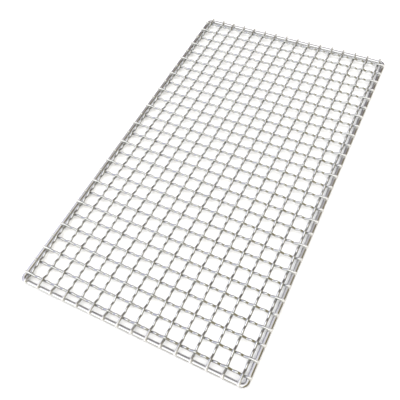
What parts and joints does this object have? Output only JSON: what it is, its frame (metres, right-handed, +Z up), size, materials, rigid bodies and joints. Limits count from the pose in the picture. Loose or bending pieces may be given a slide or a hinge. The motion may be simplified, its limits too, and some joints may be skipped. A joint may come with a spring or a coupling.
{
  "type": "barbecue net",
  "caption": "Flat rectangular hibachi grill net: crimped steel wires woven into square cells and welded to a round rim rod with rounded corners.",
  "frame": {"origin": "middle of the rectangle, at the underside of the rim rod, on the surface that the net rests on", "axes": "+X along the short side, +Y along the long side, +Z up, towards the side that food lies on"},
  "size_m": [0.1702, 0.3002, 0.0053],
  "materials": {
    "rim_steel": "bright nickel-plated steel rod, fine drawing lines",
    "wire_steel": "bright nickel-plated steel wire, fine drawing lines"
  },
  "bodies": {
    "root": {"rim_rod": "rim_steel", "long_wire_01": "wire_steel", "long_wire_02": "wire_steel", "long_wire_03": "wire_steel", "long_wire_04": "wire_steel", "long_wire_05": "wire_steel", "long_wire_06": "wire_steel", "long_wire_07": "wire_steel", "long_wire_08": "wire_steel", "long_wire_09": "wire_steel", "long_wire_10": "wire_steel", "long_wire_11": "wire_steel", "long_wire_12": "wire_steel", "long_wire_13": "wire_steel", "long_wire_14": "wire_steel", "long_wire_15": "wire_steel", "long_wire_16": "wire_steel", "cross_wire_01": "wire_steel", "cross_wire_02": "wire_steel", "cross_wire_03": "wire_steel", "cross_wire_04": "wire_steel", "cross_wire_05": "wire_steel", "cross_wire_06": "wire_steel", "cross_wire_07": "wire_steel", "cross_wire_08": "wire_steel", "cross_wire_09": "wire_steel", "cross_wire_10": "wire_steel", "cross_wire_11": "wire_steel", "cross_wire_12": "wire_steel", "cross_wire_13": "wire_steel", "cross_wire_14": "wire_steel", "cross_wire_15": "wire_steel", "cross_wire_16": "wire_steel", "cross_wire_17": "wire_steel", "cross_wire_18": "wire_steel", "cross_wire_19": "wire_steel", "cross_wire_20": "wire_steel", "cross_wire_21": "wire_steel", "cross_wire_22": "wire_steel", "cross_wire_23": "wire_steel", "cross_wire_24": "wire_steel", "cross_wire_25": "wire_steel", "cross_wire_26": "wire_steel", "cross_wire_27": "wire_steel", "cross_wire_28": "wire_steel"}
  },
  "joints": []
}
